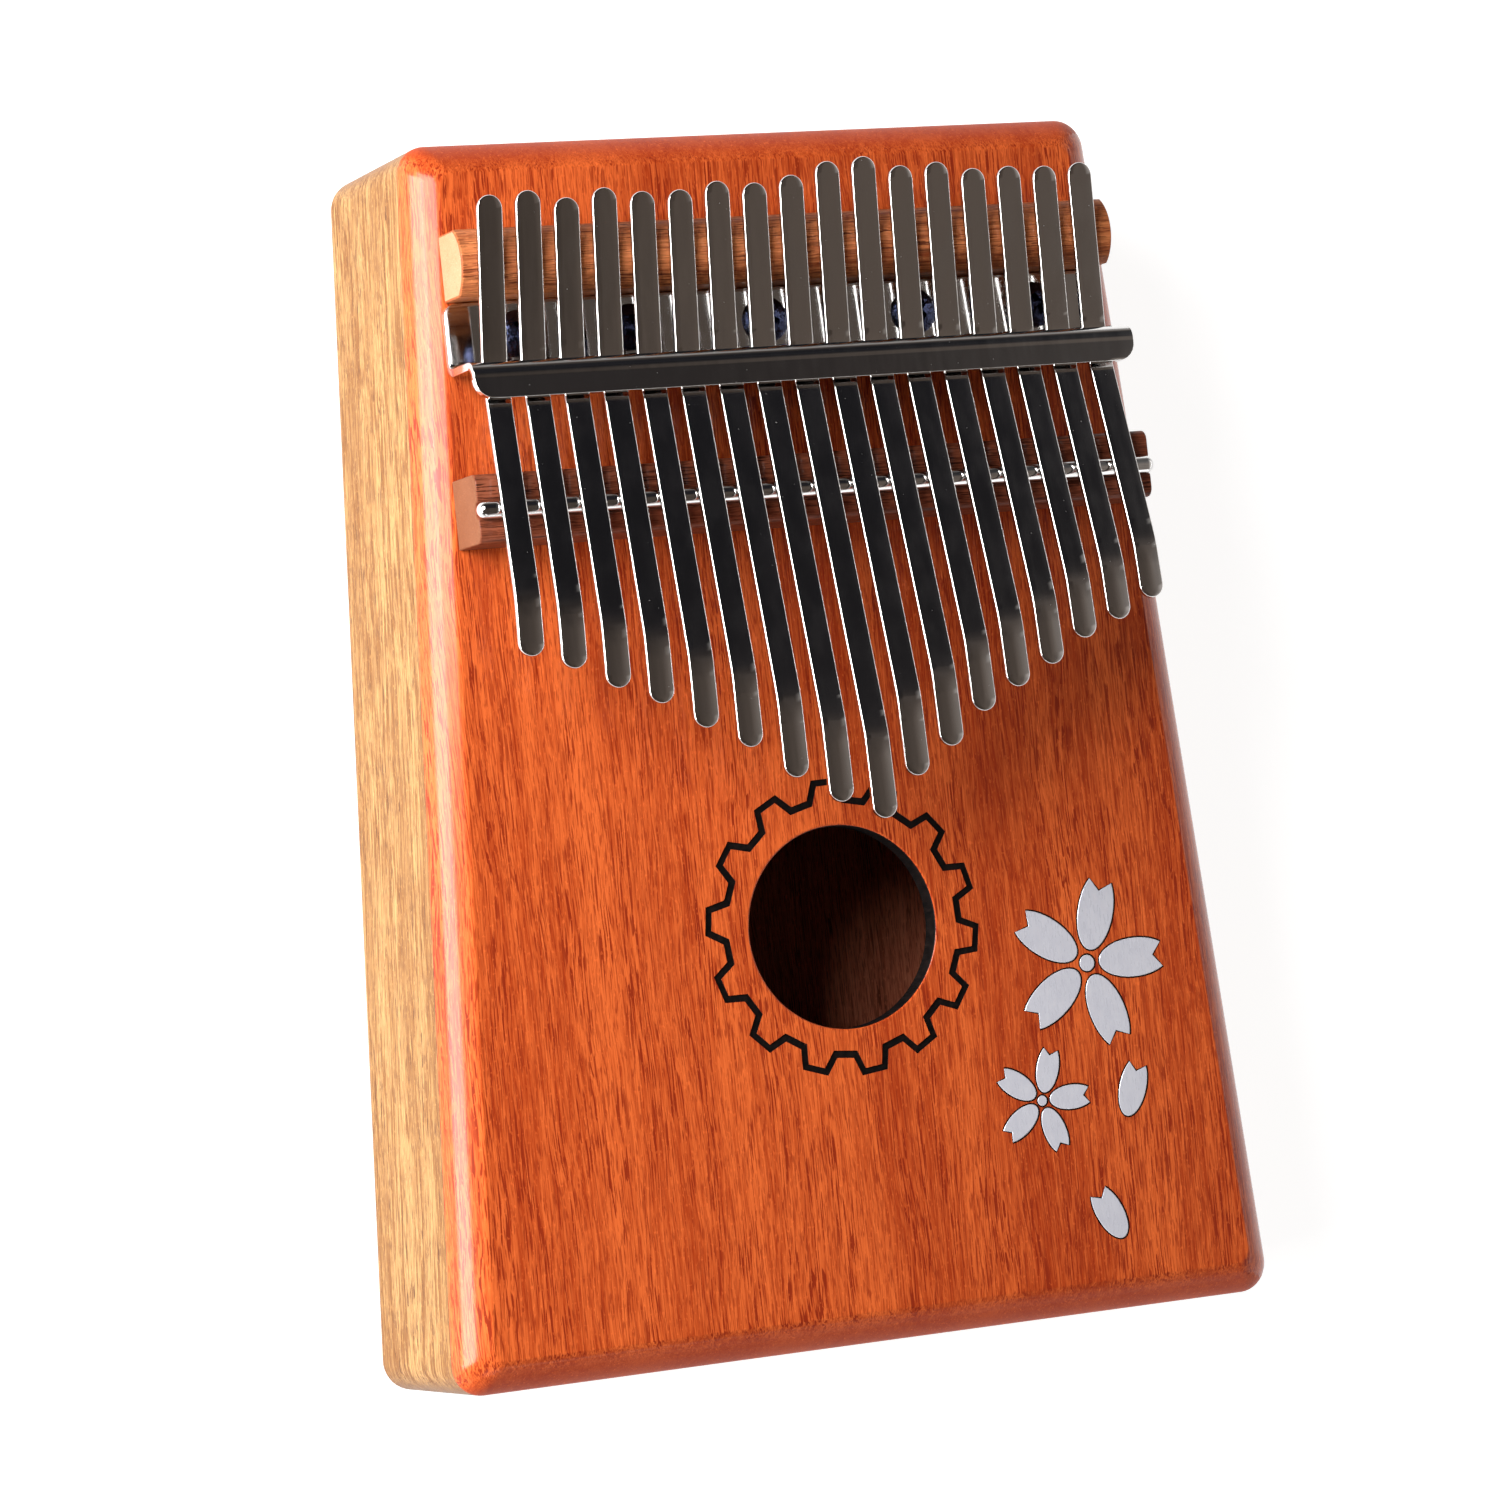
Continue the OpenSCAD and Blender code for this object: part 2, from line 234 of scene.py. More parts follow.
def rounded_polygon(corners, radius, steps=10):
    """Corners of a convex polygon, each replaced by an arc."""
    points = []
    for k, corner in enumerate(corners):
        to_before = (corners[k - 1] - corner).normalized()
        to_after = (corners[(k + 1) % len(corners)] - corner).normalized()
        angle = to_before.angle(to_after)
        middle = corner + (to_before + to_after) * radius / math.sin(angle)
        start = corner + to_before * radius / math.tan(angle / 2) - middle
        sweep = math.pi - angle
        for step in range(steps + 1):
            points.append(middle + Matrix.Rotation(sweep * step / steps, 2) @ start)
    return points


def inset_corners(corners, inset):
    """Corners of a convex polygon whose edges have all moved inwards."""
    moved = []
    for k, corner in enumerate(corners):
        to_before = (corners[k - 1] - corner).normalized()
        to_after = (corners[(k + 1) % len(corners)] - corner).normalized()
        moved.append(corner + (to_before + to_after) * inset / math.sin(to_before.angle(to_after)))
    return moved


def body_outline(inset):
    """Outline of the body, counterclockwise, moved inwards by inset."""
    corners = [
        Vector((half_width(-HALF_LENGTH), -HALF_LENGTH)),
        Vector((half_width(HALF_LENGTH), HALF_LENGTH)),
        Vector((-half_width(HALF_LENGTH), HALF_LENGTH)),
        Vector((-half_width(-HALF_LENGTH), -HALF_LENGTH)),
    ]
    return rounded_polygon(inset_corners(corners, inset), CORNER_RADIUS - inset / 2)


def circle_points(radius, centre, count=96):
    """Points of a circle, counterclockwise."""
    turns = [2 * math.pi * k / count for k in range(count)]
    return [(centre[0] + radius * math.cos(a), centre[1] + radius * math.sin(a)) for a in turns]


def gear_gap_angle(k):
    """Middle of the gap before tooth k; the outline is drawn a little uneven."""
    step = 360 / GEAR_TEETH * k
    return math.radians(4.4 + step - 3.2 * math.cos(math.radians(step - 56)))


def gear_points(grow):
    """Outline of the gear around the sound hole, grown outwards."""
    flank = 0.65  # how much of the growth the slanted tooth flanks take sideways
    gap_half = math.radians(4.9) - flank * grow / GEAR_ROOT_RADIUS
    tooth_half = math.radians(4.5) + flank * grow / GEAR_TIP_RADIUS
    points = []
    for k in range(GEAR_TEETH):
        gap = gear_gap_angle(k)
        tooth = (gap + gear_gap_angle(k + 1)) / 2
        for radius, angle in (
            (GEAR_ROOT_RADIUS + grow, gap - gap_half),
            (GEAR_ROOT_RADIUS + grow, gap + gap_half),
            (GEAR_TIP_RADIUS + grow, tooth - tooth_half),
            (GEAR_TIP_RADIUS + grow, tooth + tooth_half),
        ):
            points.append((radius * math.cos(angle), HOLE_Y + radius * math.sin(angle)))
    return points


def petal_points(place, turn, size, grow, shift=0.0, steps=30):
    """Outline of one petal that points away from place, grown outwards."""
    local = []
    grow = grow / size
    sweep = 2 * math.pi - 2 * PETAL_TIP_ANGLE
    for step in range(steps + 1):
        angle = PETAL_TIP_ANGLE + sweep * step / steps
        local.append(Vector((
            PETAL_CENTRE + (PETAL_HALF_LENGTH + grow) * math.cos(angle),
            (PETAL_HALF_WIDTH + grow) * math.sin(angle),
        )))
    local.append(Vector((PETAL_NOTCH + grow, 0)))
    rotation = Matrix.Rotation(turn, 2)
    return [place + rotation @ ((p + Vector((shift, 0))) * size) for p in local]


def flower_outlines(place, size, grow):
    """Outlines of a flower's petals and the disc between them."""
    turns = [FLOWER_TURN + 2 * math.pi / FLOWER_PETALS * k for k in range(FLOWER_PETALS)]
    petals = [petal_points(place, turn, size, grow) for turn in turns]
    return petals + [circle_points(FLOWER_DISC * size + grow, place, 32)]


def loose_petal_outlines(grow):
    """Outlines of the two loose petals."""
    shift = PETAL_HALF_LENGTH - PETAL_CENTRE
    return [petal_points(place, turn, LOOSE_PETAL_SCALE, grow, shift) for place, turn in LOOSE_PETALS]


# ---- Materials ---------------------------------------------------------------------------------


def add(tree, kind, inputs=None, **settings):
    """A shader node with its settings and inputs; an input that is a socket is linked."""
    made = tree.nodes.new("ShaderNode" + kind)
    for key, value in settings.items():
        setattr(made, key, value)
    for key, value in (inputs or {}).items():
        if isinstance(value, bpy.types.NodeSocket):
            tree.links.new(value, made.inputs[key])
        else:
            made.inputs[key].default_value = value
    return made


def start_material(name):
    """A new material and its empty node tree."""
    material = bpy.data.materials.new(name)
    material.use_nodes = True
    tree = material.node_tree
    tree.nodes.clear()
    return material, tree


def end_material(tree, surface):
    """Sends a shader to the material's output."""
    output = add(tree, "OutputMaterial")
    tree.links.new(surface.outputs[0], output.inputs["Surface"])


def place_mm(tree):
    """The point being shaded, in millimetres in the row frame."""
    coords = add(tree, "TexCoord").outputs["Object"]
    return add(tree, "VectorMath", {0: coords, "Scale": 1000.0}, operation="SCALE").outputs[0]


def stretched_noise(tree, place, size, detail=2.0, roughness=0.5):
    """Noise whose features are size = (x, y, z) millimetres large."""
    inverse = tuple(1 / s for s in size)
    scaled = add(tree, "VectorMath", {0: place, 1: inverse}, operation="MULTIPLY").outputs[0]
    settings = {"Vector": scaled, "Scale": 1.0, "Detail": detail, "Roughness": roughness}
    return add(tree, "TexNoise", settings).outputs["Fac"]


def between(tree, value, low, high, out_low=0.0, out_high=1.0):
    """Smooth step of value from low to high."""
    settings = {"Value": value, "From Min": low, "From Max": high, "To Min": out_low, "To Max": out_high}
    return add(tree, "MapRange", settings, interpolation_type="SMOOTHSTEP").outputs["Result"]


def mix(tree, factor, a, b, blend="MIX"):
    """Colour between a and b."""
    made = add(tree, "Mix", {0: factor, 6: a, 7: b}, data_type="RGBA", blend_type=blend)
    return made.outputs[2]


def maths(tree, operation, a, b):
    """Result of one arithmetic node."""
    return add(tree, "Math", {0: a, 1: b}, operation=operation).outputs[0]


def bump(tree, height, strength, distance_mm, normal=None):
    """A normal roughened by height, on top of another normal if there is one."""
    settings = {"Height": height, "Strength": strength, "Distance": distance_mm * MM}
    if normal is not None:
        settings["Normal"] = normal
    return add(tree, "Bump", settings).outputs["Normal"]


def along(axis, across, length):
    """Feature size of a streak: long along one axis, and across millimetres wide."""
    return tuple(length if axis == k else across for k in range(3))


def wandering_place(tree, place, axis):
    """The point being shaded, pushed about so that the grain along axis wanders."""
    sway = 3.2
    wander = stretched_noise(tree, place, along(axis, 14, 45))
    push = add(tree, "VectorMath", {0: (sway, sway, sway), "Scale": wander}, operation="SCALE").outputs[0]
    return add(tree, "VectorMath", {0: place, 1: push}, operation="ADD").outputs[0]


def cut_across(tree, axis):
    """How far a surface is cut across the grain, from 0 to 1."""
    end_on = add(tree, "SeparateXYZ", {0: add(tree, "TexCoord").outputs["Normal"]}).outputs[axis]
    return between(tree, maths(tree, "MULTIPLY", end_on, end_on), 0.05, 0.6)


def wood_pores(tree, grain, pore_share, sawn_end):
    """Large pores, which come in groups, and fine pores; both are fainter on a sawn end."""
    lengthways = between(tree, sawn_end, 0.0, 1.0, 1.0, 0.3)
    groups = between(tree, grain(2.5, 30), 0.4, 0.6, 0.35, 1.0)
    large = between(tree, grain(0.22, 6, 0.0), pore_share, pore_share + 0.05)
    large = maths(tree, "MULTIPLY", large, groups)
    large = maths(tree, "MULTIPLY", large, lengthways)
    fine = between(tree, grain(0.2, 2.5, 1.0), 0.56, 0.66)
    fine = maths(tree, "MULTIPLY", fine, lengthways)
    return large, fine


def wood(name, colours, axis, gloss, pore_share=0.6, band=9.0, figure=1.0, lines=0.0):
    """Wood with its grain along axis 0, 1 or 2: tonal bands, streaks, fibres, pores and growth lines, with
    painted glints.

    colours are light, dark and pore, and gloss is the weight of the lacquer. A higher pore_share leaves fewer
    pores. band is the width of the tonal bands in millimetres, figure the strength of bands and streaks, and
    lines the strength of the growth lines.
    """
    light, dark, pore = (rgb + (1,) for rgb in colours)
    material, tree = start_material(name)
    place = place_mm(tree)
    bent = wandering_place(tree, place, axis)

    def grain(across, length, detail=2.0, roughness=0.5):
        """Noise stretched along the wandering grain."""
        return stretched_noise(tree, bent, along(axis, across, length), detail, roughness)

    bands = between(tree, grain(band, 160), 0.32, 0.68)
    streaks = between(tree, grain(0.9, 40, 3.0, 0.65), 0.3, 0.7)
    fibres = grain(0.24, 7, 2.0, 0.6)
    mottle = stretched_noise(tree, place, along(axis, 0.7, 5), 3.0, 0.65)
    growth = between(tree, grain(0.75, 150), 0.5, 0.6)
    # painted highlight: tiny pale specks, brighter than the lightest wood, that stand for glints of light off
    # the lacquer
    painted_glints = between(tree, grain(0.28, 0.7, 0.0), 0.68, 0.78)
    sawn_end = cut_across(tree, axis)
    pores, fine_pores = wood_pores(tree, grain, pore_share, sawn_end)

    tone = maths(tree, "MULTIPLY", streaks, 0.28 * figure)
    tone = maths(tree, "ADD", tone, maths(tree, "MULTIPLY", bands, 0.3 * figure))
    tone = maths(tree, "ADD", tone, maths(tree, "MULTIPLY", mottle, 0.4))
    tone = maths(tree, "ADD", tone, fibres)
    tone = between(tree, tone, 0.58, 1.30)
    colour = mix(tree, tone, dark, light)
    colour = mix(tree, maths(tree, "MULTIPLY", growth, lines), colour, dark)
    colour = mix(tree, maths(tree, "MULTIPLY", sawn_end, 0.7), colour, dark)
    colour = mix(tree, maths(tree, "MULTIPLY", fine_pores, 0.6), colour, pore)
    colour = mix(tree, maths(tree, "MULTIPLY", pores, 0.95), colour, pore)
    # painted highlight: the glint specks are mixed into the colour, brighter than the light wood
    painted_glint_colour = tuple(min(1.0, c * 1.7) for c in light)
    colour = mix(tree, maths(tree, "MULTIPLY", painted_glints, 0.2), colour, painted_glint_colour)

    height = maths(tree, "SUBTRACT", maths(tree, "MULTIPLY", fibres, 0.5), pores)
    surface = add(tree, "BsdfPrincipled", {
        "Base Color": colour,
        "Roughness": between(tree, fibres, 0.2, 0.8, 0.38, 0.55),
        "Normal": bump(tree, height, 0.35, 0.05),
        "Specular IOR Level": 0.05,
        "Coat Weight": gloss,
        "Coat Roughness": 0.18,
        "Coat IOR": 1.34,
    })
    end_material(tree, surface)
    return material


def steel(name, colour, rough, waviness, wave_size=(4.0, 18.0, 4.0)):
    """Bright plated steel: soft waves in the reflections, faint hairlines and a few specks."""
    material, tree = start_material(name)
    place = place_mm(tree)
    waves = stretched_noise(tree, place, wave_size, 2.0)
    hairlines = stretched_noise(tree, place, (0.12, 9.0, 0.12), 2.0, 0.6)
    clouds = stretched_noise(tree, place, (3.0, 6.0, 3.0), 3.0)
    specks = between(tree, stretched_noise(tree, place, (0.3, 0.3, 0.3), 0.0), 0.88, 0.91)
    normal = bump(tree, waves, waviness, 0.25)
    normal = bump(tree, hairlines, 0.05, 0.01, normal)
    roughness = between(tree, clouds, 0.3, 0.7, rough, rough + 0.06)
    roughness = maths(tree, "ADD", roughness, maths(tree, "MULTIPLY", specks, 0.4))
    tint = mix(tree, clouds, colour, tuple(c * 0.9 for c in colour[:3]) + (1.0,))
    surface = add(tree, "BsdfPrincipled", {
        "Base Color": tint,
        "Metallic": 1.0,
        "Roughness": roughness,
        "Normal": normal,
    })
    end_material(tree, surface)
    return material


def burnt_wood():
    """Laser-burnt groove and sound hole wall."""
    material, tree = start_material("burnt_wood")
    place = place_mm(tree)
    soot = stretched_noise(tree, place, (0.5, 0.5, 2.0), 3.0)
    colour = mix(tree, between(tree, soot, 0.35, 0.8), (0.0015, 0.001, 0.001, 1), (0.008, 0.004, 0.003, 1))
    surface = add(tree, "BsdfPrincipled", {
        "Base Color": colour,
        "Roughness": between(tree, soot, 0.3, 0.7, 0.55, 0.8),
        "Specular IOR Level": 0.12,
        "Normal": bump(tree, soot, 0.5, 0.05),
    })
    end_material(tree, surface)
    return material


def dark_glue():
    """Glue line around the shell inlays."""
    material, tree = start_material("dark_glue")
    grain = stretched_noise(tree, place_mm(tree), (0.2, 0.2, 0.2), 2.0)
    surface = add(tree, "BsdfPrincipled", {
        "Base Color": mix(tree, grain, (0.005, 0.002, 0.001, 1), (0.016, 0.006, 0.003, 1)),
        "Roughness": 0.7,
        "Specular IOR Level": 0.05,
    })
    end_material(tree, surface)
    return material


def shell():
    """Mother-of-pearl: pale blue-white, clouded, with a soft play of colour under lacquer."""
    material, tree = start_material("shell")
    place = place_mm(tree)
    clouds = stretched_noise(tree, place, (1.6, 2.4, 1.6), 3.0, 0.6)
    layers = stretched_noise(tree, place, (0.4, 2.0, 0.4), 2.0)
    hue = mix(tree, between(tree, clouds, 0.3, 0.7), (0.545, 0.55, 0.615, 1), (0.585, 0.59, 0.65, 1))
    hue = mix(tree, between(tree, layers, 0.5, 0.8, 0.0, 0.25), hue, (0.66, 0.62, 0.64, 1))
    surface = add(tree, "BsdfPrincipled", {
        "Base Color": hue,
        "Metallic": 0.15,
        "Roughness": between(tree, layers, 0.2, 0.8, 0.22, 0.4),
        "Normal": bump(tree, clouds, 0.07, 0.05),
        "Coat Weight": 1.0,
        "Coat Roughness": 0.08,
    })
    end_material(tree, surface)
    return material


def end_grain(name, colours):
    """Raw wood cut across the grain, for the sawn ends of a bridge that runs along X."""
    return wood(name, colours, axis=0, gloss=0.0, band=6.0)


# ---- Body --------------------------------------------------------------------------------------


def face_edge(bm, sawn_slot):
    """Rounded outer edge of the face board; returns its lowest and highest rings."""
    edge_radius = FACE_Z - BOARD_Z - EDGE_LAND
    rings = [ring(bm, body_outline(SEAM_BEVEL), BOARD_Z), ring(bm, body_outline(0), BOARD_Z + SEAM_BEVEL)]
    for angle in quarter_angles(16):
        inset = edge_radius * (1 - math.cos(angle) ** EDGE_SHAPE)
        fall = edge_radius * (1 - math.sin(angle) ** EDGE_SHAPE)
        rings.append(ring(bm, body_outline(inset), FACE_Z - fall))
    for lower, upper in zip(rings, rings[1:]):
        band(bm, lower, upper)
    bm.normal_update()
    for face in bm.faces:
        if abs(face.normal.y) > SAWN_END:
            face.material_index = sawn_slot
    return rings[0], rings[-1]


def hole_wall(bm, burnt_slot):
    """Burnt wall of the sound hole and its rounded rim; returns its lowest and highest rings."""
    centre = (0, HOLE_Y)
    rings = [
        ring(bm, circle_points(HOLE_RADIUS + HOLE_RELIEF, centre), BOARD_Z),
        ring(bm, circle_points(HOLE_RADIUS, centre), FACE_Z - HOLE_WALL),
    ]
    for angle in quarter_angles(4):
        radius = HOLE_RADIUS + HOLE_RIM * (1 - math.cos(angle))
        rings.append(ring(bm, circle_points(radius, centre), FACE_Z - HOLE_RIM * (1 - math.sin(angle))))
    burnt_bands = 4
    for k, (lower, upper) in enumerate(zip(rings, rings[1:])):
        band(bm, upper, lower, burnt_slot if k < burnt_bands else 0)
    return rings[0], rings[-1]


def gear_groove(bm, burnt_slot):
    """Burnt groove around the sound hole; returns its outer and inner rings on the face."""
    gear_outer = ring(bm, gear_points(GEAR_LINE / 2), FACE_Z)
    gear_inner = ring(bm, gear_points(-GEAR_LINE / 2), FACE_Z)
    floor_outer = ring(bm, gear_points(GEAR_LINE / 2), FACE_Z - GEAR_DEPTH)
    floor_inner = ring(bm, gear_points(-GEAR_LINE / 2), FACE_Z - GEAR_DEPTH)
    band(bm, gear_outer, floor_outer, burnt_slot)
    band(bm, floor_outer, floor_inner, burnt_slot)
    band(bm, floor_inner, gear_inner, burnt_slot)
    return gear_outer, gear_inner


def inlay_pockets(bm, glue_slot):
    """Shallow pockets that show as glue lines around the inlays; returns their rims."""
    outlines = flower_outlines(BIG_FLOWER, 1, GLUE_LINE)
    outlines += flower_outlines(SMALL_FLOWER, SMALL_FLOWER_SCALE, GLUE_LINE)
    outlines += loose_petal_outlines(GLUE_LINE)
    rims = []
    for outline in outlines:
        rim = ring(bm, outline, FACE_Z)
        floor = ring(bm, outline, FACE_Z - GLUE_DROP)
        band(bm, rim, floor, glue_slot)
        lid(bm, [floor], glue_slot)
        rims.append(rim)
    return rims


def build_soundboard(face_wood, burnt, glue, sawn_wood):
    """Face board with rounded edges, a sound hole, a burnt gear around it and pockets for the inlays."""
    materials = [face_wood, burnt, glue, sawn_wood]
    burnt_slot, glue_slot, sawn_slot = 1, 2, 3
    bm = bmesh.new()
    edge_low, edge_high = face_edge(bm, sawn_slot)
    hole_low, hole_high = hole_wall(bm, burnt_slot)
    gear_outer, gear_inner = gear_groove(bm, burnt_slot)
    pocket_rims = inlay_pockets(bm, glue_slot)
    lid(bm, [edge_high, gear_outer] + pocket_rims)
    lid(bm, [gear_inner, hole_high])
    lid(bm, [edge_low, hole_low], up=False)
    piece = finish_piece(
        "lacquered_soundboard", bm, materials, "soundboard", smooth_angle=35
    )
    weight_normals(piece)


def build_back_board(side_wood, inner_wood):
    """Back board, rounded where it meets the floor; its upper face is seen through the sound hole."""
    bm = bmesh.new()
    edge_radius = BACK_TOP_Z - EDGE_LAND
    rings = []
    for angle in reversed(quarter_angles(10)):
        inset = edge_radius * (1 - math.cos(angle))
        rings.append(ring(bm, body_outline(inset), edge_radius * (1 - math.sin(angle))))
    rings.append(ring(bm, body_outline(0), BACK_TOP_Z - SEAM_BEVEL))
    rings.append(ring(bm, body_outline(SEAM_BEVEL), BACK_TOP_Z))
    for lower, upper in zip(rings, rings[1:]):
        band(bm, lower, upper)
    lid(bm, [rings[0]], up=False)
    inner_slot = 1
    lid(bm, [rings[-1]], inner_slot)
    materials = [side_wood, inner_wood]
    piece = finish_piece("lacquered_back", bm, materials, "back_board", smooth_angle=35)
    weight_normals(piece)


def dress_cad_node(node, material):
    """Gives a CAD node that stays in view its material."""
    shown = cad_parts[node]
    shown.data.materials.clear()
    shown.data.materials.append(material)


# ---- Bridges and saddle rod --------------------------------------------------------------------

BAR_END_SLOT = 1  # material slot of a bar's sawn ends


def offset_profile(points, inset):
    """A convex counterclockwise profile, each point moved inwards."""
    moved = []
    for k, point in enumerate(points):
        before = (point - points[k - 1]).normalized()
        after = (points[(k + 1) % len(points)] - point).normalized()
        inward = Vector((-before.y - after.y, before.x + after.x))
        moved.append(point + inward / max(1e-6, 1 + before.dot(after)) * inset)
    return moved


def bar_along_x(profile, length, edge):
    """Bar with a (y, z) profile and softened ends; its ends are in their own material slot."""
    bm = bmesh.new()
    half = length / 2
    stations = []
    for angle in quarter_angles(3):
        stations.append((-half + edge * (1 - math.sin(angle)), edge * (1 - math.cos(angle))))
    mirrored = [(-x, inset) for x, inset in reversed(stations)]
    sections = []
    for x, inset in sorted(stations + mirrored):
        sections.append([bm.verts.new((x, p.x, p.y)) for p in offset_profile(profile, inset)])
    for left, right in zip(sections, sections[1:]):
        band(bm, left, right)
    for section in (sections[0], list(reversed(sections[-1]))):
        face = bm.faces.new(section)
        face.material_index = BAR_END_SLOT
    bmesh.ops.recalc_face_normals(bm, faces=bm.faces)
    return bm


def arc(centre, radius, start, stop, steps):
    """Points of an arc from angle start to stop, in degrees."""
    points = []
    for step in range(steps + 1):
        angle = math.radians(start + (stop - start) * step / steps)
        points.append(Vector((centre[0] + radius * math.cos(angle), centre[1] + radius * math.sin(angle))))
    return points


def build_rear_bridge(raw, cut):
    """Raw wooden bar with a crowned top, under the tuning ends of the tines."""
    node = "rear_bridge"
    low, high = box_mm(node)
    middle = (low.y + high.y) / 2
    half = (high.y - low.y) / 2
    crown = 6.1  # radius of the top
    lean = math.degrees(math.asin(half / crown))
    profile = [Vector((low.y, low.z)), Vector((high.y, low.z))]
    profile += arc((middle, high.z - crown), crown, 90 - lean, 90 + lean, 18)
    bm = bar_along_x(profile, high.x - low.x, edge=0.3)
    piece = finish_piece("raw_rear_bridge", bm, [raw, cut], node, smooth_angle=40)
    weight_normals(piece)


def build_front_bridge(stained, cut):
    """Wooden bar with two rounded edges and a groove that the saddle rod lies in."""
    node = "front_bridge"
    low, high = box_mm(node)
    edge = 1.5
    groove = 1.42
    rod_low, rod_high = box_mm("saddle_rod")
    rod_z = (rod_low.z + rod_high.z) / 2
    depth = min(groove - 0.05, high.z - rod_z)
    half_groove = math.degrees(math.acos(depth / groove))
    profile = [Vector((low.y, low.z)), Vector((high.y, low.z))]
    profile += arc((high.y - edge, high.z - edge), edge, 0, 90, 5)
    profile += arc((ROD_Y, rod_z), groove, 90 - half_groove, -270 + half_groove, 16)
    profile += arc((low.y + edge, high.z - edge), edge, 90, 180, 5)
    bm = bmesh.new()
    half = (high.x - low.x) / 2
    sections = [[bm.verts.new((x, p.x, p.y)) for p in profile] for x in (-half, half)]
    band(bm, sections[0], sections[1])
    for section in (sections[0], list(reversed(sections[1]))):
        face = bm.faces.new(section)
        face.material_index = BAR_END_SLOT
    bmesh.ops.recalc_face_normals(bm, faces=bm.faces)
    piece = finish_piece("front_bridge_bar", bm, [stained, cut], node, smooth_angle=40)
    ease_edges(piece, "eased_ends", width=0.25, segments=2)
    weight_normals(piece)


def build_saddle_rod(chrome):
    """Chromed rod with round ends."""
    low, high = box_mm("saddle_rod")
    radius = (high.z - low.z) / 2
    centre = (low + high) / 2
    straight = (high.x - low.x) / 2 - radius
    bm = bmesh.new()
    end_angles = [math.radians(10 * k) for k in range(1, 10)]
    profile = [(-straight - radius * math.cos(a), radius * math.sin(a)) for a in end_angles]
    profile += [(-x, r) for x, r in reversed(profile)]
    sections = []
    for x, r in profile:
        loop = circle_points(r, (centre.y, centre.z), 40)
        sections.append([bm.verts.new((x, y, z)) for y, z in loop])
    for left, right in zip(sections, sections[1:]):
        band(bm, left, right)
    for section, tip in ((sections[0], low.x), (sections[-1], high.x)):
        apex = bm.verts.new((tip, centre.y, centre.z))
        for k, vert in enumerate(section):
            bm.faces.new((vert, section[(k + 1) % len(section)], apex))
    bmesh.ops.recalc_face_normals(bm, faces=bm.faces)
    finish_piece("polished_saddle_rod", bm, [chrome], "saddle_rod")


# ---- Pressure bracket and screws ---------------------------------------------------------------


def tine_turn(i):
    """How far tine i is turned in the fan."""
    return (i - MIDDLE_TINE) * FAN_STEP


def tine_x(i, y):
    """Where the middle line of tine i is at y."""
    return TINE_CENTRE_X + (i - MIDDLE_TINE) * TINE_PITCH + (ROD_Y - y) * math.tan(tine_turn(i))


def bracket_rows():
    """Middle line of the folded sheet as (y, height above the face, how far the ends are rounded in)."""
    low, high = box_mm("pressure_bracket")
    half_sheet = SHEET / 2
    rear, front = high.y, low.y
    top = high.z - FACE_Z - half_sheet
    riser = RISER_Y + half_sheet
    foot_bend = 1.4
    lip_bend = 1.7
    lip_tilt = 6.5
    lip_reach = 3.6
    base_corner = 2.0
    lip_corner = 3.0
    rows = []
    for angle in quarter_angles(5):
        y = rear - base_corner * (1 - math.cos(angle))
        rows.append((y, half_sheet, base_corner * (1 - math.sin(angle))))
    for point in arc((riser + foot_bend, half_sheet + foot_bend), foot_bend, -90, -180, 6):
        rows.append((point.x, point.y, 0.0))
    rows.append((riser, SLOT_BOTTOM, 0.0))
    drop = lip_reach * math.tan(math.radians(lip_tilt))
    centre = (riser - lip_bend, top - drop - lip_bend)
    slot_angle = math.degrees(math.asin((SLOT_TOP - centre[1]) / lip_bend))
    bend = arc(centre, lip_bend, 0, slot_angle, 3)
    bend += arc(centre, lip_bend, slot_angle, 90 + lip_tilt, 8)[1:]
    rows += [(point.x, point.y, 0.0) for point in bend]
    bend_end = rows[-1]
    length = bend_end[0] - front
    for angle in quarter_angles(6):
        y = front + lip_corner * (1 - math.sin(angle))
        share = (bend_end[0] - y) / length
        rows.append((y, bend_end[1] + share * (top - bend_end[1]), lip_corner * (1 - math.cos(angle))))
    return rows


def bracket_columns(half):
    """Places across the bracket as (x, whether a slot starts there)."""
    places = [(-half, False)]
    for i in range(TINE_COUNT):
        x = tine_x(i, RISER_Y)
        places.append((x - SLOT_WIDTH / 2, True))
        places.append((x + SLOT_WIDTH / 2, False))
    places.append((half, False))
    return places


def build_bracket(chrome):
    """One folded sheet: a base plate, a riser with a slot for each tine, and a lip that leans forward."""
    low, high = box_mm("pressure_bracket")
    half = (high.x - low.x) / 2
    columns = bracket_columns(half)
    rows = bracket_rows()
    bm = bmesh.new()
    grid = []
    for y, height, inset in rows:
        squeeze = (half - inset) / half
        grid.append([bm.verts.new((x * squeeze, y, FACE_Z + height)) for x, _ in columns])
    hair = 0.001
    for r in range(len(rows) - 1):
        beside_slot = rows[r][1] > SLOT_BOTTOM - hair and rows[r + 1][1] < SLOT_TOP + hair
        for c in range(len(columns) - 1):
            if beside_slot and columns[c][1]:
                continue
            bm.faces.new((grid[r][c], grid[r][c + 1], grid[r + 1][c + 1], grid[r + 1][c]))
    bmesh.ops.recalc_face_normals(bm, faces=bm.faces)
    piece = finish_piece("chromed_bracket", bm, [chrome], "pressure_bracket")
    thicken = piece.modifiers.new("sheet", "SOLIDIFY")
    thicken.thickness = SHEET * MM
    thicken.offset = 0
    thicken.use_even_offset = True
    ease_edges(piece, "eased_edges", width=0.4, segments=3, profile=0.32)
    weight_normals(piece)


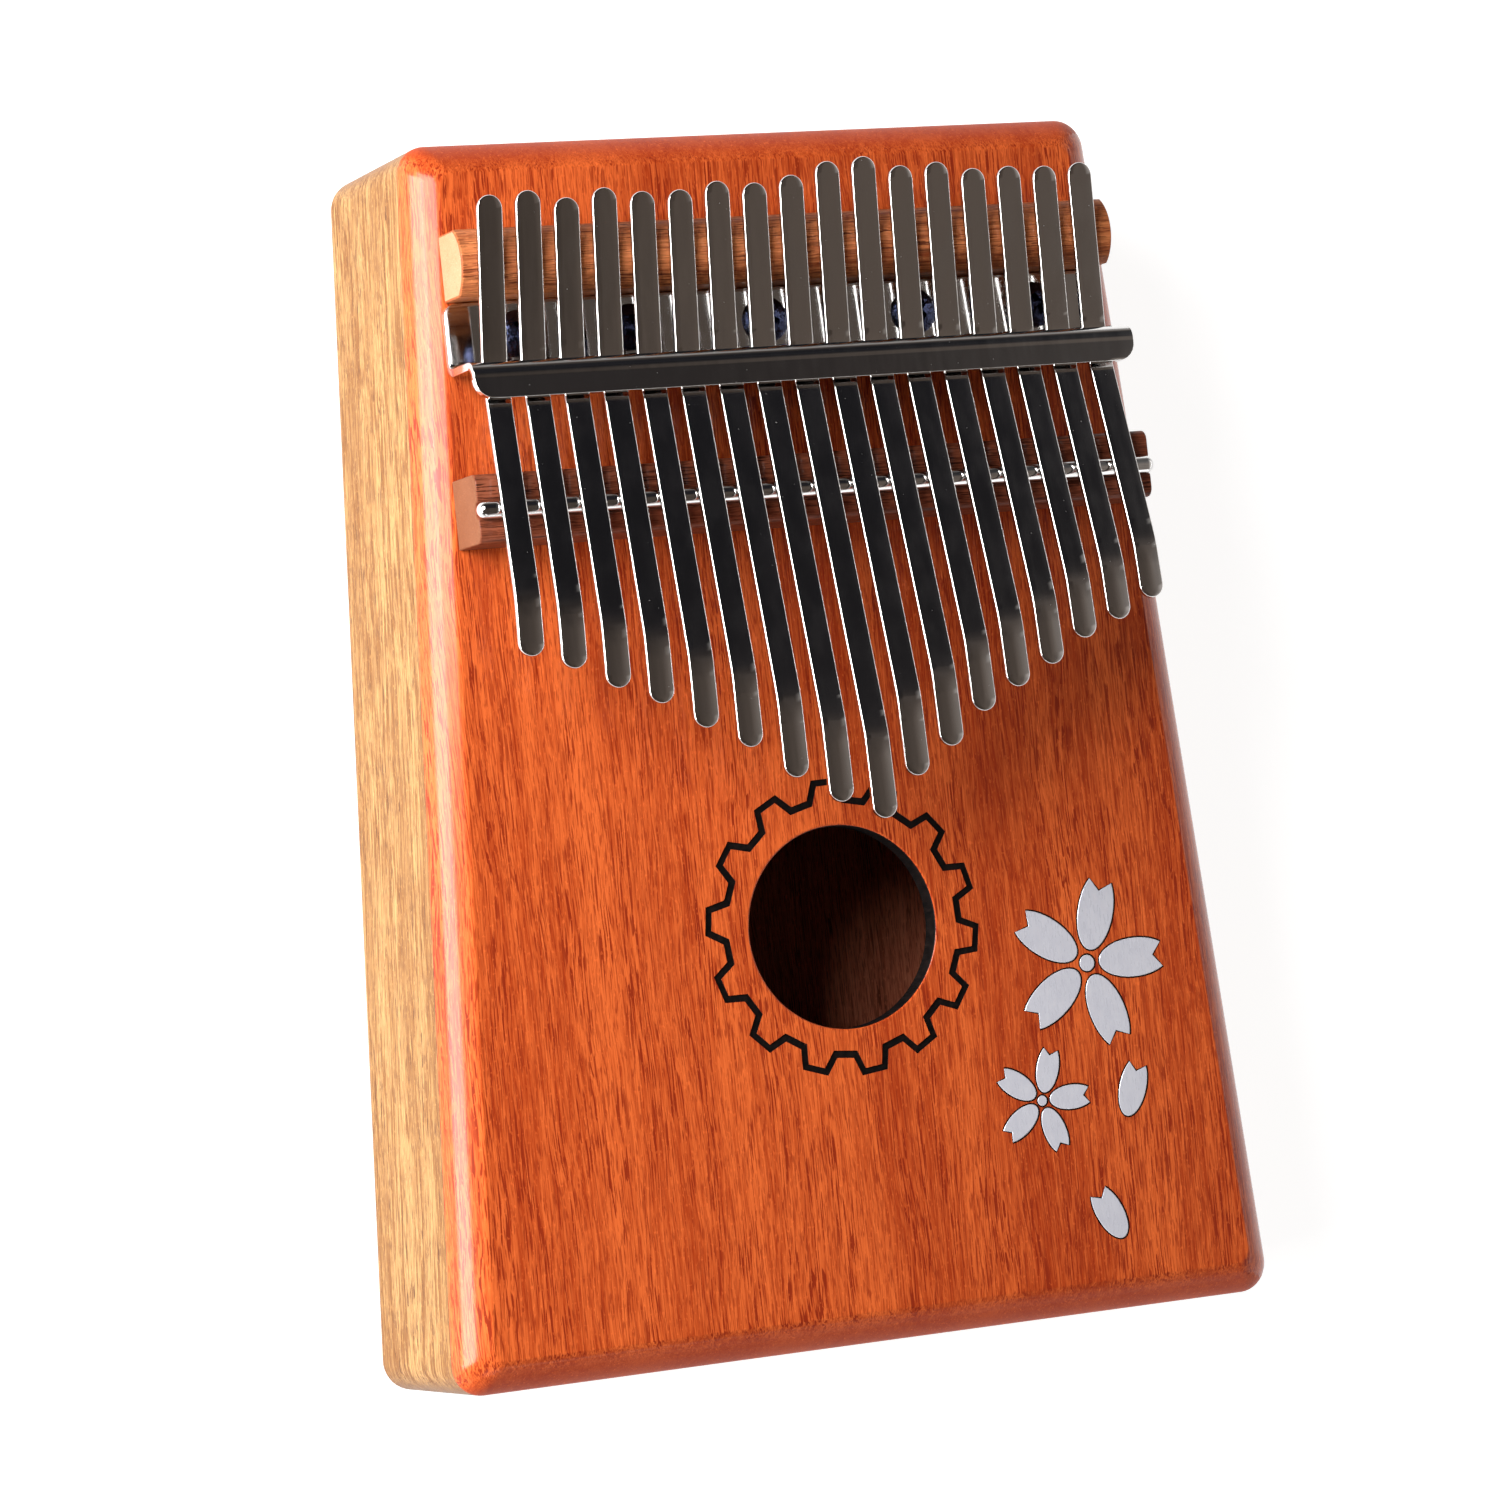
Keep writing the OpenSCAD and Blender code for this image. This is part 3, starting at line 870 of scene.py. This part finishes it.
def screw_dome():
    """Domed screw head with its seat at z = 0."""
    bm = bmesh.new()
    drop = SCREW_HEAD_HEIGHT - SCREW_DOME_RADIUS
    seat_edge = 0.15
    profile = [(SCREW_HEAD_RADIUS - seat_edge, 0.0), (SCREW_HEAD_RADIUS, seat_edge)]
    lean = math.asin(SCREW_HEAD_RADIUS / SCREW_DOME_RADIUS)
    steps = 12
    for step in range(steps):
        angle = lean * (1 - step / steps)
        profile.append((SCREW_DOME_RADIUS * math.sin(angle), drop + SCREW_DOME_RADIUS * math.cos(angle)))
    rings = [ring(bm, circle_points(radius, (0, 0), 48), z) for radius, z in profile]
    for lower, upper in zip(rings, rings[1:]):
        band(bm, lower, upper)
    apex = bm.verts.new((0, 0, SCREW_HEAD_HEIGHT))
    for k, vert in enumerate(rings[-1]):
        bm.faces.new((vert, rings[-1][(k + 1) % len(rings[-1])], apex))
    lid(bm, [rings[0]], up=False)
    return mesh_in_metres(bm, "screw_head")


def screw_cross():
    """Tapered cross that is cut out of the screw head."""
    cross = bmesh.new()
    arm, half, depth, rise = 1.9, 0.45, 1.5, 1.0
    for turn in (0, QUARTER):
        rotation = Matrix.Rotation(turn, 2)
        levels = []
        for reach, z in ((0.55, -depth), (1.25, rise)):
            width = half * (0.6 + 0.4 * reach)
            corners = [Vector((sx * arm * reach, sy * width)) for sx, sy in SQUARE]
            levels.append(ring(cross, [rotation @ c for c in corners], SCREW_HEAD_HEIGHT + z))
        band(cross, levels[0], levels[1])
        cross.faces.new(list(reversed(levels[0])))
        cross.faces.new(levels[1])
    return mesh_in_metres(cross, "screw_cross")


def build_screw_mesh(blackened):
    """Cross-head screw, in metres: the dome with the cross cut out."""
    head = bpy.data.objects.new("screw_head_work", screw_dome())
    cutter = bpy.data.objects.new("screw_cross_work", screw_cross())
    for made in (head, cutter):
        bpy.context.scene.collection.objects.link(made)
    cut = head.modifiers.new("cross", "BOOLEAN")
    cut.operation = "DIFFERENCE"
    cut.object = cutter
    cut.solver = "EXACT"
    cut.use_self = True
    bpy.context.view_layer.update()
    shaped = head.evaluated_get(bpy.context.evaluated_depsgraph_get())
    finished = bpy.data.meshes.new_from_object(shaped)
    for made in (head, cutter):
        bpy.data.objects.remove(made)
    finished.name = "cross_head_screw"
    finished.materials.clear()
    finished.materials.append(blackened)
    for polygon in finished.polygons:
        polygon.use_smooth = True
    finished.set_sharp_from_angle(angle=math.radians(35))
    return finished


def build_screws(blackened):
    """Five screws that share one mesh, each turned differently."""
    mesh = build_screw_mesh(blackened)
    for k, x in enumerate(SCREW_X):
        screw = bpy.data.objects.new(f"bracket_screw_{k + 1}", mesh)
        screw.location = Vector((x, SCREW_Y, FACE_Z + SHEET)) * MM
        screw.rotation_euler.z = math.radians(25 + 67 * k)
        bpy.context.scene.collection.objects.link(screw)
        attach(screw, "body")
        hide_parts("bracket_screws")


# ---- Tines -------------------------------------------------------------------------------------


def smooth_ramp(t, width):
    """Close to zero below 0, rising one for one above it, with a bend about width wide."""
    return (t + math.sqrt(t * t + width * width)) / 2


def tine_underside(y, bend_y):
    """Height of a tine's underside above the face, for a tine that flattens out at bend_y."""
    return (
        PRESS_HEIGHT
        + REAR_SLOPE * smooth_ramp(y - PRESS_Y, PRESS_BEND)
        + PLAY_SLOPE * smooth_ramp(PRESS_Y - y, PRESS_BEND)
        - (PLAY_SLOPE - TIP_SLOPE) * smooth_ramp(bend_y - y, TIP_BEND)
    )


def tine_levels():
    """Cross-section of a tine's edge from top to bottom, as (inset, height above the underside)."""
    levels = []
    for angle in quarter_angles(5):
        fall = TINE_EDGE_DROP * (1 - math.cos(angle))
        levels.append((TINE_EDGE * (1 - math.sin(angle)), TINE_THICKNESS - fall))
    for angle in quarter_angles(3):
        levels.append((TINE_EDGE * (1 - math.cos(angle)), TINE_EDGE_DROP * (1 - math.sin(angle))))
    return levels


def tine_stations(tip_y, rear_y, inset, bend_y):
    """(y, half width) along one tine, round at both ends, with more stations at its two bends."""
    half = TINE_HALF_WIDTH - inset
    tip_centre = tip_y + TINE_HALF_WIDTH
    rear_centre = rear_y - TINE_HALF_WIDTH
    straight = [bend_y + TIP_BEND * 0.5 * k for k in range(-6, 7)]
    straight += [PRESS_Y + PRESS_BEND * 0.6 * k for k in range(-6, 7)]
    spacing = 4
    straight += [tip_y + spacing * k for k in range(1, 30)]
    gap = 0.3
    round_end = [(half * math.cos(angle), half * math.sin(angle)) for angle in quarter_angles(8)]
    stations = [(tip_centre - reach, width) for reach, width in round_end]
    stations += [(y, half) for y in sorted(straight) if tip_centre + gap < y < rear_centre - gap]
    stations += [(rear_centre + reach, width) for reach, width in reversed(round_end)]
    return stations


def crowned_top(bm, left, right, stations, bend_y):
    """Faces between the two edges of a tine's top, which is slightly crowned near the tip."""
    columns = [left]
    for share in (-0.5, 0.0, 0.5):
        column = []
        for y, half in stations:
            flattened = min(1.0, max(0.0, (bend_y - y) / CROWN_FADE))
            rise = TIP_CROWN * flattened * (1 - share * share) * half / (TINE_HALF_WIDTH - TINE_EDGE)
            z = FACE_Z + tine_underside(y, bend_y) + TINE_THICKNESS + rise
            column.append(bm.verts.new((share * half, y, z)))
        columns.append(column)
    columns.append(right)
    for west, east in zip(columns, columns[1:]):
        for k in range(len(west) - 1):
            bm.faces.new((west[k], east[k], east[k + 1], west[k + 1]))


def build_tine(i, metal):
    """One spring steel tine, built straight along Y and then turned about the saddle rod into the fan."""
    node = f"tine_{i + 1:02d}"
    low, high = box_mm(node)
    turn = tine_turn(i)
    tip_y = ROD_Y - (ROD_Y - low.y) / math.cos(turn)
    rear_y = ROD_Y + (high.y - ROD_Y) / math.cos(turn)
    bend_y = tip_y + TIP_FLAT + TIP_FLAT_SHARE * (ROD_Y - tip_y)
    bm = bmesh.new()
    levels = []
    for inset, height in tine_levels():
        right, left = [], []
        for y, half in tine_stations(tip_y, rear_y, inset, bend_y):
            z = FACE_Z + tine_underside(y, bend_y) + height
            right.append(bm.verts.new((half, y, z)))
            left.append(bm.verts.new((-half, y, z)))
        levels.append((right, left))
    right, left = levels[0]
    crowned_top(bm, left, right, tine_stations(tip_y, rear_y, TINE_EDGE, bend_y), bend_y)
    for (right, left), (right_below, left_below) in zip(levels, levels[1:]):
        for k in range(len(right) - 1):
            bm.faces.new((right[k], right_below[k], right_below[k + 1], right[k + 1]))
            bm.faces.new((left[k + 1], left_below[k + 1], left_below[k], left[k]))
    right, left = levels[-1]
    for k in range(len(right) - 1):
        bm.faces.new((left[k + 1], right[k + 1], right[k], left[k]))
    bmesh.ops.remove_doubles(bm, verts=bm.verts, dist=1e-5)
    bmesh.ops.recalc_face_normals(bm, faces=bm.faces)
    swing = Matrix.Translation((tine_x(i, ROD_Y), ROD_Y, 0)) @ Matrix.Rotation(turn, 4, "Z")
    bmesh.ops.transform(bm, matrix=swing @ Matrix.Translation((0, -ROD_Y, 0)), verts=bm.verts)
    piece = finish_piece(f"spring_{node}", bm, [metal], node, body=node)
    weight_normals(piece)


# ---- Inlays ------------------------------------------------------------------------------------


def build_inlay(name, outlines, edges, node, pearl):
    """Thin shell plates let into the face, with an eased rim; edges are their outlines moved inwards."""
    bm = bmesh.new()
    for outline, eased in zip(outlines, edges):
        low = ring(bm, outline, FACE_Z - INLAY_DEPTH)
        rim = ring(bm, outline, FACE_Z - INLAY_RIM)
        top = ring(bm, eased, FACE_Z)
        band(bm, low, rim)
        band(bm, rim, top)
        lid(bm, [low], up=False)
        lid(bm, [top])
    piece = finish_piece(name, bm, [pearl], node, smooth_angle=25)
    weight_normals(piece)


def build_inlays(pearl):
    """Two flowers and two loose petals of shell."""
    flowers = (("big_flower", BIG_FLOWER, 1), ("small_flower", SMALL_FLOWER, SMALL_FLOWER_SCALE))
    for name, place, size in flowers:
        outlines = flower_outlines(place, size, 0)
        edges = flower_outlines(place, size, -INLAY_EASE)
        build_inlay(f"{name}_shell", outlines, edges, f"{name}_inlay", pearl)
    outlines = loose_petal_outlines(0)
    edges = loose_petal_outlines(-INLAY_EASE)
    build_inlay("loose_petal_shell", outlines, edges, "loose_petal_inlays", pearl)


# ---- Studio ------------------------------------------------------------------------------------


def aim(item, place, target, roll=0.0):
    """Puts a camera or light at place, looking at target with +Y up; roll is in degrees."""
    back = (Vector(place) - Vector(target)).normalized()
    right = Vector((0, 1, 0)).cross(back).normalized()
    turn = Matrix((right, back.cross(right), back)).transposed().to_4x4()
    item.matrix_world = Matrix.Translation(place) @ turn @ Matrix.Rotation(math.radians(roll), 4, "Z")


def softbox(name, place, target, size, power):
    """Rectangular light: places and size in metres, power in watts."""
    data = bpy.data.lights.new(name, "AREA")
    data.shape = "RECTANGLE"
    data.size, data.size_y = size
    data.energy = power
    lamp = bpy.data.objects.new(name, data)
    bpy.context.scene.collection.objects.link(lamp)
    aim(lamp, place, target)


def build_floor():
    """White floor that glows a little, so that the shadows on it stay soft and pale."""
    material, tree = start_material("pale_floor")
    grain = stretched_noise(tree, place_mm(tree), (40, 40, 40), 2.0)
    surface = add(tree, "BsdfPrincipled", {
        "Base Color": mix(tree, grain, (0.48, 0.48, 0.48, 1), (0.52, 0.52, 0.52, 1)),
        "Roughness": 0.9,
        "Specular IOR Level": 0.2,
        "Emission Color": (1, 1, 1, 1),
        "Emission Strength": 0.84,
    })
    end_material(tree, surface)
    bm = bmesh.new()
    reach = 2.5  # metres from the middle to each side
    bm.faces.new([bm.verts.new((sx * reach, sy * reach, 0)) for sx, sy in SQUARE])
    mesh = bpy.data.meshes.new("floor")
    bm.to_mesh(mesh)
    bm.free()
    mesh.materials.append(material)
    floor = bpy.data.objects.new("floor", mesh)
    floor.location.z = -0.2 * MM  # just clear of the underside
    bpy.context.scene.collection.objects.link(floor)


def build_world():
    """A studio with pale walls and a dark ceiling, which is lighter towards the player, rear and right."""
    world = bpy.data.worlds.new("studio")
    world.use_nodes = True
    tree = world.node_tree
    tree.nodes.clear()
    direction = add(tree, "TexCoord").outputs["Generated"]
    parts = add(tree, "SeparateXYZ", {0: direction})
    right, rearward, up = (parts.outputs[axis] for axis in "XYZ")
    front = between(tree, rearward, 0.48, 0.0)
    rear = between(tree, rearward, 0.75, 0.95)
    warm = mix(tree, between(tree, right, 0.3, 0.46), (0.07, 0.055, 0.045, 1), (0.15, 0.12, 0.10, 1))
    light = mix(tree, maths(tree, "MAXIMUM", front, rear), (0.018, 0.018, 0.021, 1), warm)
    light = mix(tree, between(tree, right, 0.42, 0.9), light, (0.8, 0.77, 0.74, 1))
    clouds = add(tree, "TexNoise", {"Vector": direction, "Scale": 9.0, "Detail": 2.0}).outputs["Fac"]
    shade = between(tree, clouds, 0.3, 0.7, 0.72, 1.28)
    grey = add(tree, "CombineXYZ", {0: shade, 1: shade, 2: shade}).outputs[0]
    light = mix(tree, 1.0, light, grey, "MULTIPLY")
    wall = mix(tree, between(tree, rearward, 0.2, 0.5), (1.0, 1.0, 1.0, 1), (0.35, 0.33, 0.32, 1))
    light = mix(tree, between(tree, up, 0.32, 0.12), light, wall)
    backdrop = add(tree, "Background", {"Color": light, "Strength": 1.0})
    output = add(tree, "OutputWorld")
    tree.links.new(backdrop.outputs[0], output.inputs["Surface"])
    bpy.context.scene.world = world


def build_camera():
    """The photo's viewpoint, found from the outline of the body."""
    data = bpy.data.cameras.new("camera")
    data.sensor_width = 36
    data.lens = 132.33
    data.clip_end = 10
    camera = bpy.data.objects.new("camera", data)
    bpy.context.scene.collection.objects.link(camera)
    place = Vector((-339.2, -33.1, 800.5)) * MM
    target = Vector((4.7, 0.0, 0.0)) * MM
    aim(camera, place, target, roll=-6.04)
    bpy.context.scene.camera = camera


# ---- Build everything --------------------------------------------------------------------------

bpy.context.scene.view_settings.view_transform = "Standard"

# Wood colours as light, dark and pore.
MAHOGANY = ((0.63, 0.118, 0.025), (0.33, 0.036, 0.006), (0.22, 0.018, 0.004))
PALE_WOOD = ((0.41, 0.235, 0.088), (0.18, 0.072, 0.017), (0.08, 0.024, 0.006))
INNER_WOOD = ((0.52, 0.16, 0.085), (0.30, 0.075, 0.037), (0.12, 0.028, 0.013))
BRACE_WOOD = ((0.42, 0.25, 0.11), (0.3, 0.16, 0.07), (0.15, 0.07, 0.03))
REAR_BRIDGE_WOOD = ((0.60, 0.20, 0.07), (0.27, 0.06, 0.02), (0.12, 0.03, 0.012))
FRONT_BRIDGE_WOOD = ((0.25, 0.07, 0.034), (0.12, 0.027, 0.012), (0.05, 0.012, 0.006))
PALE_END = ((0.42, 0.31, 0.19), (0.3, 0.19, 0.1), (0.18, 0.09, 0.045))
DARK_END = ((0.24, 0.095, 0.048), (0.15, 0.055, 0.026), (0.09, 0.03, 0.015))

lacquered_face = wood("lacquered_mahogany", MAHOGANY, axis=1, gloss=0.85, pore_share=0.57)
sawn_face = wood("sawn_mahogany", MAHOGANY, axis=1, gloss=0.2, pore_share=0.57)
pale_look = {"gloss": 0.12, "pore_share": 0.64, "band": 6.0, "figure": 0.8, "lines": 1.0}
side_wood = wood("side_wood", PALE_WOOD, axis=1, **pale_look)
end_board_wood = wood("end_board_wood", PALE_WOOD, axis=0, **pale_look)
inner_wood = wood("inner_wood", INNER_WOOD, axis=1, gloss=0.0)
brace_wood = wood("brace_wood", BRACE_WOOD, axis=0, gloss=0.0)
rear_bridge_wood = wood("rear_bridge_wood", REAR_BRIDGE_WOOD, axis=0, gloss=0.25, pore_share=0.62, band=5.0)
front_bridge_wood = wood("front_bridge_wood", FRONT_BRIDGE_WOOD, axis=0, gloss=0.3, band=5.0)
pale_end_grain = end_grain("pale_end_grain", PALE_END)
dark_end_grain = end_grain("dark_end_grain", DARK_END)
tine_steel = steel("tine_steel", (0.66, 0.64, 0.63, 1), rough=0.07, waviness=0.07)
chrome = steel("chrome", (0.70, 0.69, 0.68, 1), rough=0.06, waviness=0.1)
screw_steel = steel("screw_steel", (0.05, 0.06, 0.12, 1), rough=0.16, waviness=1.0, wave_size=(0.8, 0.8, 0.8))

build_soundboard(lacquered_face, burnt_wood(), dark_glue(), sawn_face)
build_back_board(side_wood, inner_wood)
for side in ("left_side", "right_side"):
    dress_cad_node(side, side_wood)
for board in ("head_board", "tail_board"):
    dress_cad_node(board, end_board_wood)
dress_cad_node("cross_brace", brace_wood)
build_rear_bridge(rear_bridge_wood, pale_end_grain)
build_front_bridge(front_bridge_wood, dark_end_grain)
build_saddle_rod(chrome)
build_bracket(chrome)
build_screws(screw_steel)
for i in range(TINE_COUNT):
    build_tine(i, tine_steel)
build_inlays(shell())

build_floor()
build_world()
build_camera()
softbox("left_softbox", place=(-0.58, 0.03, 0.20), target=(0, 0.02, 0.03), size=(0.22, 0.5), power=6.6)
softbox("key", place=(-0.46, 0.235, 0.40), target=(0, 0, 0.03), size=(0.33, 0.33), power=5.1)
softbox("front_fill", place=(0.1, -0.75, 0.28), target=(0, 0, 0.03), size=(1.1, 0.2), power=1.1)
softbox("right_strip", place=(0.75, 0, 0.30), target=(0, 0, 0.03), size=(0.08, 1.0), power=0.5)
